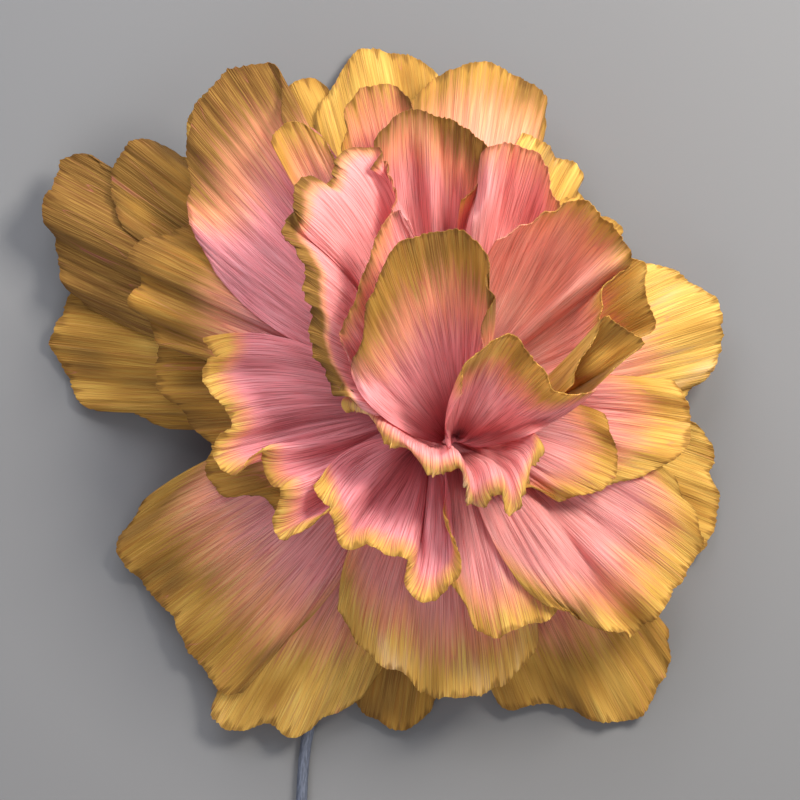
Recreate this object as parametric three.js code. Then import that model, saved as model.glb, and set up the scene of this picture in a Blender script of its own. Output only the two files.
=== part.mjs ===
// Crepe paper peony lying on its back: thirty-seven gathered petals glued round a block,
// a calyx knob with five sepals under them, and a bent wire stem wrapped in paper tape.
// Millimetres, +Z up, origin on the table under the middle of the whole flower.
import * as THREE from 'three';

// ---- driving dimensions ----
const PAPER = 0.6;                 // a petal: stretched crepe, two plies glued
const BLOCK_PLACE = [12, 12, 0];   // the block that the petals are glued to
const BLOCK_TOP = 12;
const BLOCK_BOTTOM = -17.5;
const BLOCK_TOP_RADIUS = 6.2;
const BLOCK_SLOPE = 0.4;           // radius gained per millimetre downwards
const DOME_RISE = 3;
const FOOT_GAP = 3.0;              // from the block's face to the foot of a petal
const GATHER = 0.07;               // width of a gathered foot, as a share of the petal
const FLARE = 2.0;                 // how soon a petal spreads out from its foot
const CALM = 1.0;                  // how soon the outline of the rim fades towards the foot
const PEAK = 0.8;                  // where a petal swells most: under 1 is nearer the foot
const COLUMNS = 14;                // cells of a petal along its rim
const ROWS = 6;                    // cells of a petal from foot to rim
const CALYX_TOP = -18.5;
const CALYX_BOTTOM = -30;
const CALYX_RADIUS = 21.5;
const SEPALS = 5;
const SEPAL_FOOT = -21;
const SEPAL_REACH = 62;
const SEPAL_HALF_WIDTH = 11;
const WIRE_RADIUS = 1.5;
const WIRE_TOP = -8;               // the wire's upper end, inside the block
const TAPE_INNER = 1.8;
const STEM_RADIUS = 3.0;
const TAPE_TOP = -18.2;
const STEM_STEPS = 44;
const STEM_SIDES = 14;
const CLEARANCE = 0.3;
const ROUND_SIDES = 40;
const LAYER_GAP = 1.6;             // between the middle surfaces of two petals that lie on each other
const CELL = 2;                    // pitch of the height map that the petals are laid on
const SAMPLES = 8;                 // points along each side of a petal's cell that are laid on it
const LAYING_PASSES = 6;

// ---- petals ----
// A petal is gathered at its foot and spread to a rim.  `side` is the compass angle of
// the foot in degrees and `foot` its height, `rim` runs from one corner to the other,
// `belly` is how far the petal swells and `peak` where, and `ruffle`, `waves` and `turn`
// shape the rim.
// Places are in millimetres from the middle of the head.
const PETALS = [
  // the outermost ring droops to the table
  { name: 'outer_top_slip', side: 108, foot: -16.5, belly: [0, 0, 8], ruffle: 1.5, waves: 2, turn: 0.4,
    rim: [[-38, 166, -44], [-48, 178, -48], [-57, 180, -50], [-66, 177, -50], [-74, 162, -48]] },
  { name: 'outer_top', side: 96, foot: -14.5, belly: [0, 0, 20], ruffle: 2, waves: 3, turn: 0.4,
    rim: [[16, 166, -44], [12, 181, -48], [4, 187, -48], [-4, 192, -50], [-15, 196, -49], [-28, 194, -50],
      [-37, 187, -48], [-44, 174, -46], [-52, 156, -42]] },
  { name: 'outer_top_right', side: 78, foot: -10.5, belly: [0, 0, 26], ruffle: 2, waves: 3, turn: 0.4,
    rim: [[60, 130, -16], [65, 152, -18], [64, 162, -20], [64, 172, -22], [56, 178, -20], [49, 181, -22],
      [37, 186, -20], [24, 185, -22], [11, 180, -20], [1, 168, -18], [-4, 150, -14]] },
  { name: 'outer_right_back', side: 55, foot: -16.5, belly: [0, 0, 16], ruffle: 2.5, waves: 3, turn: 1,
    rim: [[94, 98, -40], [87, 118, -44], [86, 129, -42], [79, 137, -46], [68, 144, -44], [54, 150, -42]] },
  { name: 'outer_right_high', side: 40, foot: -13, belly: [0, 0, 20], ruffle: 2.5, waves: 3, turn: 1,
    rim: [[114, 66, -34], [108, 86, -34], [104, 98, -36], [98, 108, -32], [88, 116, -32], [76, 118, -28]] },
  { name: 'outer_right', side: 18, foot: -9, belly: [0, 0, 26], ruffle: 3.5, waves: 4, turn: 1,
    rim: [[126, 4, -26], [143, 20, -32], [150, 32, -34], [159, 44, -38], [156, 54, -32], [152, 66, -34],
      [142, 77, -30], [127, 81, -26], [112, 84, -22], [92, 80, -20]] },
  { name: 'outer_right_low', side: 348, foot: -16, belly: [0, 0, 14], ruffle: 2.5, waves: 4, turn: 0.4,
    rim: [[122, -82, -46], [140, -70, -46], [150, -58, -48], [156, -36, -50], [153, -22, -46],
      [152, -10, -46], [144, 1, -42], [130, 12, -38]] },
  { name: 'outer_bottom_right', side: 303, foot: -12.5, belly: [0, 0, 20], ruffle: 2.5, waves: 3, turn: 0.9,
    rim: [[30, -122, -46], [46, -141, -50], [66, -142, -48], [84, -147, -48], [107, -151, -51],
      [122, -139, -48], [130, -125, -44], [128, -110, -40], [116, -90, -34]] },
  { name: 'outer_bottom', side: 265, foot: -16.5, belly: [0, 0, 10], ruffle: 1.5, waves: 2, turn: 0.4,
    rim: [[-42, -122, -44], [-29, -144, -47], [-18, -151, -50], [-5, -155, -51], [5, -148, -50],
      [9, -139, -49], [18, -118, -46]] },
  { name: 'outer_bottom_left', side: 243, foot: -13.5, belly: [0, 0, 16], ruffle: 1.5, waves: 3, turn: 0.4,
    rim: [[-99, -130, -42], [-105, -147, -44], [-93, -154, -44], [-76, -153, -42], [-62, -157, -43],
      [-47, -149, -42], [-33, -141, -42], [-18, -124, -40]] },
  { name: 'outer_left_low', side: 212, foot: -10, belly: [0, 0, 26], ruffle: 2.5, waves: 3.5, turn: 0.9,
    rim: [[-138, -36, -38], [-152, -54, -46], [-146, -74, -48], [-135, -87, -46], [-124, -96, -42],
      [-114, -119, -42], [-94, -134, -38], [-74, -114, -32]] },
  { name: 'outer_left', side: 166, foot: -16, belly: [0, 0, 18], ruffle: 2, waves: 3.5, turn: 0.4,
    rim: [[-162, 86, -46], [-184, 58, -46], [-186, 42, -50], [-178, 22, -50], [-165, 12, -51],
      [-150, 8, -48], [-125, 3, -44], [-103, 1, -40]] },
  { name: 'outer_left_high', side: 142, foot: -12, belly: [0, 0, 22], ruffle: 3, waves: 3, turn: 0.4,
    rim: [[-135, 120, -26], [-152, 134, -24], [-166, 140, -32], [-182, 137, -34], [-189, 109, -30],
      [-184, 88, -38], [-172, 64, -40]] },
  { name: 'outer_left_lobe', side: 131, foot: -8.5, belly: [0, 0, 22], ruffle: 2.5, waves: 2.5, turn: 1,
    rim: [[-106, 112, -10], [-116, 137, -12], [-133, 146, -16], [-149, 143, -18], [-155, 128, -22],
      [-148, 104, -26]] },
  // the middle ring opens flat
  { name: 'middle_left', side: 182, foot: -7, belly: [0, 0, 20], ruffle: 3, waves: 4, turn: 0.9,
    rim: [[-118, 50, -18], [-133, 36, -16], [-132, 24, -20], [-124, 14, -14], [-115, 4, -20],
      [-104, -8, -14], [-106, -20, -20], [-98, -31, -18], [-86, -35, -22], [-70, -36, -18]] },
  { name: 'middle_left_high', side: 153, foot: -5, belly: [0, 0, 20], ruffle: 3, waves: 4, turn: 0.4,
    rim: [[-104, 108, 4], [-122, 100, 5], [-134, 97, 3], [-145, 84, 4], [-139, 73, 0], [-143, 64, 2],
      [-136, 52, -1], [-124, 45, 0], [-106, 34, -3]] },
  { name: 'middle_tall_lobe', side: 131, foot: -4, belly: [0, 0, 10], ruffle: 1.5, waves: 2, turn: 0.4,
    rim: [[-100, 174, 8], [-108, 168, 8], [-113, 159, 6], [-115, 147, 6], [-112, 132, 6]] },
  { name: 'middle_tall', side: 126, foot: -1.5, belly: [0, 0, 12], ruffle: 2, waves: 3, turn: 0.4,
    rim: [[-38, 128, 38], [-46, 145, 36], [-56, 152, 36], [-65, 152, 34], [-66, 166, 30], [-68, 178, 26],
      [-76, 183, 22], [-89, 182, 22], [-99, 175, 18], [-109, 163, 14], [-115, 148, 16], [-114, 128, 12],
      [-114, 110, 14], [-102, 80, 12]] },
  { name: 'middle_top', side: 110, foot: 1.5, belly: [0, 0, 4], ruffle: 1.5, waves: 2, turn: 0.4,
    rim: [[-34, 124, 44], [-42, 138, 42], [-50, 148, 41], [-58, 153, 40], [-66, 154, 38], [-72, 142, 38]] },
  { name: 'middle_bottom', side: 275, foot: -8, belly: [0, 0, 16], ruffle: 3, waves: 4, turn: 0.4,
    rim: [[-38, -84, -4], [-31, -106, -8], [-20, -117, -12], [-6, -124, -16], [8, -137, -20],
      [25, -134, -18], [42, -133, -20], [54, -119, -14], [62, -106, -10], [63, -86, -6]] },
  { name: 'middle_bottom_right', side: 298, foot: -3, belly: [0, 0, 14], ruffle: 2.5, waves: 3, turn: 0.4,
    rim: [[10, -64, 30], [22, -84, 26], [32, -100, 22], [42, -104, 20], [54, -98, 24], [68, -92, 22],
      [80, -80, 24]] },
  { name: 'middle_right_low', side: 326, foot: -5.5, belly: [0, 0, 18], ruffle: 3, waves: 4, turn: 0.4,
    rim: [[56, -78, 8], [82, -96, 4], [102, -101, 2], [113, -103, -4], [123, -91, 2], [131, -79, -4],
      [138, -73, 0], [144, -57, -2], [141, -42, 4], [130, -24, 8]] },
  { name: 'middle_right', side: 355, foot: -2.5, belly: [0, 0, 14], ruffle: 3, waves: 3, turn: 0.4,
    rim: [[94, -28, 16], [116, -22, 12], [130, -14, 8], [138, -4, 4], [139, 8, 6], [130, 24, 12]] },
  { name: 'middle_right_small', side: 333, foot: 0.5, belly: [0, 0, 8], ruffle: 3, waves: 3, turn: 0.4,
    rim: [[44, -22, 34], [60, -32, 30], [72, -36, 24], [80, -33, 30], [91, -31, 24], [98, -24, 28],
      [101, -12, 26], [94, 8, 26]] },
  { name: 'middle_left_frill', side: 188, foot: -2.5, belly: [0, 0, 2], ruffle: 1.5, waves: 5, turn: 0.4,
    rim: [[-104, 46, 36], [-99, 36, 40], [-105, 27, 36], [-97, 15, 41], [-90, 1, 38], [-102, -12, 36],
      [-89, -18, 42], [-76, -10, 46], [-73, -21, 42], [-66, -26, 46], [-69, -51, 38], [-57, -46, 44],
      [-42, -38, 48]] },
  { name: 'middle_front_frill', side: 250, foot: -4, belly: [0, 0, 0], ruffle: 1.5, waves: 5, turn: 0.4,
    rim: [[-48, -26, 47], [-38, -46, 49], [-35, -57, 47], [-26, -54, 50], [-18, -56, 48], [-9, -60, 50],
      [-3, -64, 48], [-2, -75, 45], [7, -82, 44], [15, -77, 46], [18, -64, 48], [12, -44, 52]] },
  { name: 'front_lip', side: 272, foot: -1, belly: [0, 7, 14], peak: 2.2, ruffle: 1.5, waves: 6, turn: 0.4,
    rim: [[-37, 8, 60], [-32, 9, 66], [-25, 6, 66], [-18, -2, 69], [-9, -9, 68], [3, -19, 72],
      [11, -22, 70], [21, -20, 72], [29, -38, 64], [37, -33, 70], [43, -32, 72], [49, -40, 66],
      [55, -27, 66], [62, -12, 62]] },
  // the cup stands up and leans to the top
  { name: 'cup_top_back', side: 98, foot: 3.5, belly: [0, 0, -2], ruffle: 2, waves: 3, turn: 0.4,
    rim: [[4, 142, 48], [0, 161, 44], [-8, 168, 42], [-18, 172, 40], [-28, 169, 40], [-34, 159, 42],
      [-38, 140, 46]] },
  { name: 'cup_top', side: 85, foot: 5.5, belly: [0, 4, -8], ruffle: 2, waves: 3, turn: 0.4,
    rim: [[27, 102, 60], [37, 118, 62], [38, 132, 60], [33, 141, 57], [23, 150, 56], [13, 155, 54],
      [0, 158, 54], [-10, 156, 56], [-20, 142, 60]] },
  { name: 'cup_right_back', side: 60, foot: 4, belly: [4, 4, -12], ruffle: 2, waves: 3, turn: 0.4,
    rim: [[73, 103, 50], [68, 119, 47], [64, 131, 45], [56, 139, 43], [47, 143, 43], [38, 139, 45],
      [32, 131, 46], [23, 113, 50]] },
  { name: 'cup_right_flap', side: 12, foot: 6, belly: [4, 0, -4], ruffle: 2.5, waves: 2, turn: 0.4,
    rim: [[90, 39, 66], [108, 46, 66], [115, 52, 66], [114, 65, 64], [112, 79, 66], [103, 84, 66],
      [92, 82, 68]] },
  { name: 'cup_right', side: 32, foot: 7, belly: [8, 6, -10], ruffle: 2.5, waves: 3, turn: 0.4,
    rim: [[82, 28, 68], [88, 43, 70], [92, 57, 72], [93, 69, 72], [98, 78, 70], [104, 83, 68],
      [103, 92, 66], [95, 104, 64], [83, 113, 64], [71, 107, 66], [61, 108, 66], [49, 101, 68],
      [39, 92, 70]] },
  { name: 'cup_left', side: 135, foot: 7, belly: [6, 0, 4], peak: 2, ruffle: 1.5, waves: 3, turn: 0.4,
    rim: [[-14, 102, 66], [-16, 120, 64], [-20, 134, 64], [-29, 138, 64], [-37, 132, 68], [-42, 123, 74],
      [-50, 123, 82], [-56, 111, 88], [-64, 101, 84], [-56, 90, 90], [-52, 78, 92], [-51, 61, 88],
      [-49, 41, 80], [-41, 24, 70], [-34, 14, 62]] },
  { name: 'cup_front_left', side: 212, foot: 9, belly: [3, -2, 12], peak: 0.5, ruffle: 2, waves: 2, turn: 0.4,
    rim: [[-3, 104, 90], [-8, 109, 92], [-12, 106, 92], [-16, 99, 94], [-22, 85, 94], [-31, 65, 94],
      [-35, 54, 90], [-35, 43, 86], [-32, 32, 78]] },
  { name: 'cup_front', side: 262, foot: 8, belly: [9, -8, 12], peak: 0.35, ruffle: 2, waves: 3, turn: 0.4,
    rim: [[31, 43, 92], [32, 55, 102], [37, 64, 104], [35, 71, 108], [38, 77, 106], [33, 86, 108],
      [25, 93, 108], [10, 97, 110], [0, 94, 112], [-12, 89, 112], [-18, 74, 108], [-24, 56, 100],
      [-30, 39, 88], [-32, 29, 78]] },
  { name: 'cup_front_back_right', side: 345, foot: 6.5, belly: [6, -8, 4], ruffle: 2, waves: 2, turn: 0.4,
    rim: [[95, 28, 82], [103, 34, 84], [110, 42, 82], [100, 50, 88], [90, 56, 90], [85, 44, 88],
      [79, 32, 86], [75, 23, 84]] },
  { name: 'cup_front_right', side: 290, foot: 5, belly: [3, -10, 8], peak: 0.35,
    ruffle: 2, waves: 2, turn: 0.4,
    rim: [[88, 22, 80], [77, 20, 82], [68, 20, 84], [64, 24, 88], [60, 30, 92], [53, 39, 96],
      [47, 47, 100], [38, 48, 102], [31, 41, 102], [26, 31, 98], [21, 18, 92]] },
];

// The stem's middle line: down out of the calyx, round, and away along the table.
const STEM_ROUTE = [
  [12, 12, TAPE_TOP], [12, 12, -25], [12, 12, -32], [11, 7, -40], [6, -8, -48], [-2, -29, -51.5],
  [-16, -62, -52], [-37, -108, -52], [-55, -155, -52], [-59, -200, -52], [-59, -270, -52], [-59, -345, -52],
];

// ---- materials ----
function paint(name, color, roughness, metalness = 0) {
  const material = new THREE.MeshStandardMaterial({ color, roughness, metalness });
  material.name = name;
  return material;
}

const group = new THREE.Group();
group.name = 'crepe_paper_peony';

function add(name, geometry, material, place = [0, 0, 0]) {
  const mesh = new THREE.Mesh(geometry, material);
  mesh.name = name;
  mesh.position.set(...place);
  group.add(mesh);
}

// ---- shared geometry ----
// Builds a mesh from points and faces, turned so that its faces look outwards.
function closedMesh(points, faces) {
  let volume = 0;
  const cross = new THREE.Vector3();
  for (const [a, b, c] of faces) {
    volume += points[a].dot(cross.crossVectors(points[b], points[c]));
  }
  const index = volume > 0 ? faces.flat() : faces.map(([a, b, c]) => [a, c, b]).flat();
  const geometry = new THREE.BufferGeometry();
  geometry.setAttribute('position', new THREE.Float32BufferAttribute(points.flatMap((p) => p.toArray()), 3));
  geometry.setIndex(index);
  geometry.computeVertexNormals();
  return geometry;
}

// Joins rings of points into a surface; the first and last ring close on one point,
// or on each other when `loop` is set.
function skin(rings, loop) {
  const points = rings.flat();
  const sides = rings[0].length;
  const faces = [];
  const bands = loop ? rings.length : rings.length - 1;
  for (let ring = 0; ring < bands; ring += 1) {
    const low = ring * sides;
    const high = ((ring + 1) % rings.length) * sides;
    for (let side = 0; side < sides; side += 1) {
      const next = (side + 1) % sides;
      faces.push([low + side, low + next, high + next], [low + side, high + next, high + side]);
    }
  }
  if (!loop) {
    for (const [ring, turned] of [[0, true], [rings.length - 1, false]]) {
      const middle = new THREE.Vector3();
      rings[ring].forEach((p) => middle.addScaledVector(p, 1 / sides));
      points.push(middle);
      for (let side = 0; side < sides; side += 1) {
        const a = ring * sides + side;
        const b = ring * sides + ((side + 1) % sides);
        faces.push(turned ? [points.length - 1, b, a] : [points.length - 1, a, b]);
      }
    }
  }
  return closedMesh(points, faces);
}

// A turned solid from a profile of [radius, height] points.
function turned(profile, loop = false) {
  const rings = profile.map(([radius, height]) => Array.from({ length: ROUND_SIDES }, (_, side) => {
    const angle = (2 * Math.PI * side) / ROUND_SIDES;
    return new THREE.Vector3(radius * Math.cos(angle), radius * Math.sin(angle), height);
  }));
  return skin(rings, loop);
}

// A round bar or a tube along a curve, with a straight lead before the curve's start.
function swept(curve, outer, inner, lead) {
  const steps = STEM_STEPS;
  const sides = STEM_SIDES;
  const frames = curve.computeFrenetFrames(steps, false);
  const ringAt = (step, radius) => Array.from({ length: sides }, (_, side) => {
    const angle = (2 * Math.PI * side) / sides;
    return curve.getPointAt(step / steps)
      .addScaledVector(frames.normals[step], radius * Math.cos(angle))
      .addScaledVector(frames.binormals[step], radius * Math.sin(angle));
  });
  const stations = Array.from({ length: steps + 1 }, (_, step) => step);
  const rings = stations.map((step) => ringAt(step, outer));
  if (inner === 0) {
    const start = curve.getTangentAt(0).multiplyScalar(-lead);
    return skin([rings[0].map((point) => point.clone().add(start)), ...rings], false);
  }
  const bore = stations.reverse().map((step) => ringAt(step, inner));
  return skin([...rings, ...bore], true);
}

// ---- petal ----
// A smooth curve through the rim's points, read at equal shares of its length.
function rimPoints(rim, count) {
  const points = rim.map((p) => new THREE.Vector3(...p));
  const along = [0];
  for (let i = 1; i < points.length; i += 1) {
    along.push(along[i - 1] + points[i].distanceTo(points[i - 1]));
  }
  const last = points.length - 1;
  const slopes = points.map((_, i) => {
    const before = Math.max(i - 1, 0);
    const after = Math.min(i + 1, last);
    return points[after].clone().sub(points[before]).divideScalar(along[after] - along[before]);
  });
  return Array.from({ length: count + 1 }, (_, k) => {
    const place = (along[last] * k) / count;
    let i = 0;
    while (i < last - 1 && along[i + 1] < place) {
      i += 1;
    }
    const span = along[i + 1] - along[i];
    const q = (place - along[i]) / span;
    return new THREE.Vector3()
      .addScaledVector(points[i], 2 * q ** 3 - 3 * q ** 2 + 1)
      .addScaledVector(slopes[i], (q ** 3 - 2 * q ** 2 + q) * span)
      .addScaledVector(points[i + 1], 3 * q ** 2 - 2 * q ** 3)
      .addScaledVector(slopes[i + 1], (q ** 3 - q ** 2) * span);
  });
}

// Where the foot of a petal meets the glue on the block's sloping face.
function footPoint(side, foot) {
  const radius = BLOCK_TOP_RADIUS + BLOCK_SLOPE * (BLOCK_TOP - foot) + FOOT_GAP;
  const angle = THREE.MathUtils.degToRad(side);
  return new THREE.Vector3(radius * Math.cos(angle), radius * Math.sin(angle), foot)
    .add(new THREE.Vector3(...BLOCK_PLACE));
}

// The middle surface of a petal, rows from foot to rim and columns from corner to corner.
function petalSheet({ side, foot, rim, belly, peak = PEAK }) {
  const base = footPoint(side, foot);
  const arms = rimPoints(rim, COLUMNS).map((p) => p.sub(base));
  const mean = new THREE.Vector3();
  arms.forEach((arm) => mean.addScaledVector(arm, 1 / arms.length));
  const axis = mean.clone().normalize();
  const ends = arms[0].clone().lerp(arms[COLUMNS], 0.5);
  const half = arms[COLUMNS].clone().sub(ends);
  const bow = mean.clone().sub(ends).multiplyScalar(1.5);
  const even = arms.map((_, column) => {
    const u = (2 * column) / COLUMNS - 1;
    return ends.clone().addScaledVector(half, u).addScaledVector(bow, 1 - u ** 2);
  });
  const swell = new THREE.Vector3(...belly);
  return Array.from({ length: ROWS + 1 }, (_, row) => {
    const t = row / ROWS;
    const spread = GATHER + (1 - GATHER) * (1 - (1 - t) ** FLARE);
    return arms.map((rimArm, column) => {
      const arm = even[column].clone().lerp(rimArm, t ** CALM);
      const reach = arm.dot(axis);
      const sideways = arm.clone().addScaledVector(axis, -reach);
      return base.clone()
        .addScaledVector(axis, reach * t)
        .addScaledVector(sideways, spread)
        .addScaledVector(swell, Math.sin(Math.PI * t ** peak));
    });
  });
}

function sheetNormal(sheet, row, column) {
  const across = sheet[row][Math.min(column + 1, COLUMNS)].clone().sub(sheet[row][Math.max(column - 1, 0)]);
  const along = sheet[Math.min(row + 1, ROWS)][column].clone().sub(sheet[Math.max(row - 1, 0)][column]);
  return along.cross(across).normalize();
}

// Bends the rim into its ruffles.
function ruffled(sheet, { ruffle, waves, turn }) {
  return sheet.map((line, row) => line.map((point, column) => {
    const u = (2 * column) / COLUMNS - 1;
    const wave = ruffle * (row / ROWS) ** 3 * Math.sin(Math.PI * waves * u + turn);
    return point.clone().addScaledVector(sheetNormal(sheet, row, column), wave);
  }));
}

// Calls `visit` with points spread over every cell of a sheet, and the cell's corners.
function overCells(sheet, visit) {
  for (let row = 0; row < ROWS; row += 1) {
    for (let column = 0; column < COLUMNS; column += 1) {
      const [near, far] = [sheet[row], sheet[row + 1]];
      const corners = [near[column], near[column + 1], far[column], far[column + 1]];
      for (let i = 0; i <= SAMPLES; i += 1) {
        for (let j = 0; j <= SAMPLES; j += 1) {
          const low = corners[0].clone().lerp(corners[1], i / SAMPLES);
          const high = corners[2].clone().lerp(corners[3], i / SAMPLES);
          visit(low.lerp(high, j / SAMPLES), corners);
        }
      }
    }
  }
}

const laidHeights = new Map();
const cellName = (point) => `${Math.round(point.x / CELL)},${Math.round(point.y / CELL)}`;

// Lifts a sheet off the petals already laid, then adds it to them.
function laid(sheet) {
  for (let pass = 0; pass < LAYING_PASSES; pass += 1) {
    const lifts = new Map();
    overCells(sheet, (point, corners) => {
      const lack = (laidHeights.get(cellName(point)) ?? -Infinity) + LAYER_GAP - point.z;
      if (lack > 0) {
        corners.forEach((corner) => lifts.set(corner, Math.max(lifts.get(corner) ?? 0, lack)));
      }
    });
    lifts.forEach((lift, corner) => { corner.z += lift; });
  }
  overCells(sheet, (point) => {
    const name = cellName(point);
    laidHeights.set(name, Math.max(laidHeights.get(name) ?? -Infinity, point.z));
  });
  return sheet;
}

// Gives a sheet the thickness of the paper.
function paperSolid(sheet) {
  const front = [];
  const back = [];
  sheet.forEach((line, row) => line.forEach((point, column) => {
    const half = sheetNormal(sheet, row, column).multiplyScalar(PAPER / 2);
    front.push(point.clone().add(half));
    back.push(point.clone().sub(half));
  }));
  const wide = COLUMNS + 1;
  const under = front.length;
  const faces = [];
  for (let row = 0; row < ROWS; row += 1) {
    for (let column = 0; column < COLUMNS; column += 1) {
      const a = row * wide + column;
      const b = a + wide;
      faces.push([a, a + 1, b + 1], [a, b + 1, b]);
      faces.push([under + a, under + b + 1, under + a + 1], [under + a, under + b, under + b + 1]);
    }
  }
  const edge = [];
  for (let column = 0; column < COLUMNS; column += 1) {
    edge.push(column);
  }
  for (let row = 0; row < ROWS; row += 1) {
    edge.push(row * wide + COLUMNS);
  }
  for (let column = COLUMNS; column > 0; column -= 1) {
    edge.push(ROWS * wide + column);
  }
  for (let row = ROWS; row > 0; row -= 1) {
    edge.push(row * wide);
  }
  edge.forEach((a, i) => {
    const b = edge[(i + 1) % edge.length];
    faces.push([a, under + a, under + b], [a, under + b, b]);
  });
  return closedMesh([...front, ...back], faces);
}

const petalPaper = paint('petal_paper', 0xd9935a, 0.85);
for (const spec of PETALS) {
  add(`petal_${spec.name}`, paperSolid(laid(ruffled(petalSheet(spec), spec))), petalPaper);
}

// ---- petal block ----
// The cone that carries the petals' feet, domed on top and bored for the wire.
const blockRadius = BLOCK_TOP_RADIUS + BLOCK_SLOPE * (BLOCK_TOP - BLOCK_BOTTOM);
add('petal_block', turned([
  [BLOCK_TOP_RADIUS * 0.5, BLOCK_TOP + DOME_RISE * 0.85],
  [BLOCK_TOP_RADIUS * 0.85, BLOCK_TOP + DOME_RISE * 0.5],
  [BLOCK_TOP_RADIUS, BLOCK_TOP],
  [blockRadius, BLOCK_BOTTOM],
  [WIRE_RADIUS + CLEARANCE, BLOCK_BOTTOM],
  [WIRE_RADIUS + CLEARANCE, WIRE_TOP + CLEARANCE],
]), paint('block_foam', 0xd98a80, 0.9), BLOCK_PLACE);

// ---- calyx ----
add('calyx', turned([
  [STEM_RADIUS + CLEARANCE, CALYX_TOP],
  [CALYX_RADIUS, CALYX_TOP],
  [CALYX_RADIUS, CALYX_TOP - 3.5],
  [CALYX_RADIUS * 0.6, CALYX_TOP - 8],
  [STEM_RADIUS + 2, CALYX_BOTTOM],
  [STEM_RADIUS + CLEARANCE, CALYX_BOTTOM],
], true), paint('calyx_paper', 0x5f7145, 0.85), BLOCK_PLACE);

const sepalPaper = paint('sepal_paper', 0x6b7d4a, 0.85);
for (let k = 0; k < SEPALS; k += 1) {
  const side = 30 + (360 / SEPALS) * k;
  const angle = THREE.MathUtils.degToRad(side);
  const leaf = [[0.52, -0.85, -27], [0.78, -0.8, -33], [1, 0, -38], [0.78, 0.8, -33], [0.52, 0.85, -27]];
  const rim = leaf.map(([out, across, height]) => [
    BLOCK_PLACE[0] + SEPAL_REACH * out * Math.cos(angle) - SEPAL_HALF_WIDTH * across * Math.sin(angle),
    BLOCK_PLACE[1] + SEPAL_REACH * out * Math.sin(angle) + SEPAL_HALF_WIDTH * across * Math.cos(angle),
    height,
  ]);
  const spec = { side, foot: SEPAL_FOOT, belly: [0, 0, 3], rim };
  add(`sepal_${k + 1}`, paperSolid(petalSheet(spec)), sepalPaper);
}

// ---- stem ----
const route = new THREE.CatmullRomCurve3(STEM_ROUTE.map((p) => new THREE.Vector3(...p)));
add('stem_wire', swept(route, WIRE_RADIUS, 0, WIRE_TOP - TAPE_TOP), paint('steel_wire', 0x8d8f92, 0.4, 1));
add('stem_tape', swept(route, STEM_RADIUS, TAPE_INNER, 0), paint('tape_paper', 0x505664, 0.8));

// ---- place on the table ----
const box = new THREE.Box3().setFromObject(group);
const middle = box.getCenter(new THREE.Vector3());
group.position.set(-middle.x, -middle.y, -box.min.z);
group.updateMatrixWorld(true);

export default group;
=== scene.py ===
import math

import bpy
import numpy as np
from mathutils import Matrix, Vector


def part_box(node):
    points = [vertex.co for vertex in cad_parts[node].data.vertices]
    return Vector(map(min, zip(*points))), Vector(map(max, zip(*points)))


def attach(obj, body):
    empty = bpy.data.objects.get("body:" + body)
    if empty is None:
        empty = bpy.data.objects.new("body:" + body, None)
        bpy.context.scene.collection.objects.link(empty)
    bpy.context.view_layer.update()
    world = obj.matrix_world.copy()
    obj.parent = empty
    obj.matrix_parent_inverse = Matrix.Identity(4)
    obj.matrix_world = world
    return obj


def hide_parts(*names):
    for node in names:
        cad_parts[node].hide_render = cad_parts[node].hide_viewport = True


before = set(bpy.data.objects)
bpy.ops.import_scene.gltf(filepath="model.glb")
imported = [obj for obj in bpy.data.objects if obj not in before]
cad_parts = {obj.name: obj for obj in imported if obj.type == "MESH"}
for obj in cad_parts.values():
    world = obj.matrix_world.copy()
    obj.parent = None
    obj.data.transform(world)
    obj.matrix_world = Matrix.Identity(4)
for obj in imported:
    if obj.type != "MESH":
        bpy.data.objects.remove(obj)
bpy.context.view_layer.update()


# ---- Viewpoint ----
# The flower lies on its back with its open side up, so the camera hangs straight over it.
# It stands well back with a long lens, which keeps tall and low petals at the same scale.
MM = 0.001
block_low, block_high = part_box("petal_block")
BLOCK_BOTTOM = -17.5 * MM
BLOCK_PLACE = np.array([12, 12, 0])
head = np.array([
    (block_low[0] + block_high[0]) / 2,
    (block_low[1] + block_high[1]) / 2,
    block_low[2] - BLOCK_BOTTOM,
]) - BLOCK_PLACE * MM

VIEW_WIDTH = 400 * MM
VIEW_DISTANCE = 2.2
VIEW_CENTRE = head + np.array([-8, 15, 20]) * MM

camera_data = bpy.data.cameras.new("camera")
camera_data.sensor_width = 36
camera_data.lens = camera_data.sensor_width * VIEW_DISTANCE / VIEW_WIDTH
camera = bpy.data.objects.new("camera", camera_data)
camera.location = VIEW_CENTRE + np.array([0, 0, VIEW_DISTANCE])
bpy.context.scene.collection.objects.link(camera)
bpy.context.scene.camera = camera


# ---- Petals ----
# Thirty-seven petals of heavy crepe paper, each cut across its ribs, dipped in dye so that
# it goes from rose at the foot to old gold at the rim, stretched over the thumb, gathered
# at the foot and glued to the block, from the lowest ring up to the cup in the middle.
PAPER = 0.45 * MM
BLOCK_TOP = 12
BLOCK_TOP_RADIUS = 6.2
BLOCK_SLOPE = 0.4
FOOT_GAP = 3.0
# `GATHER` is how wide a petal's foot is beside its rim, `FLARE` how fast the petal widens on
# the way, and `CALM` how late the rim's own ins and outs begin to show.
GATHER = 0.07
FLARE = 2.0
CALM = 1.0

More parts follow.
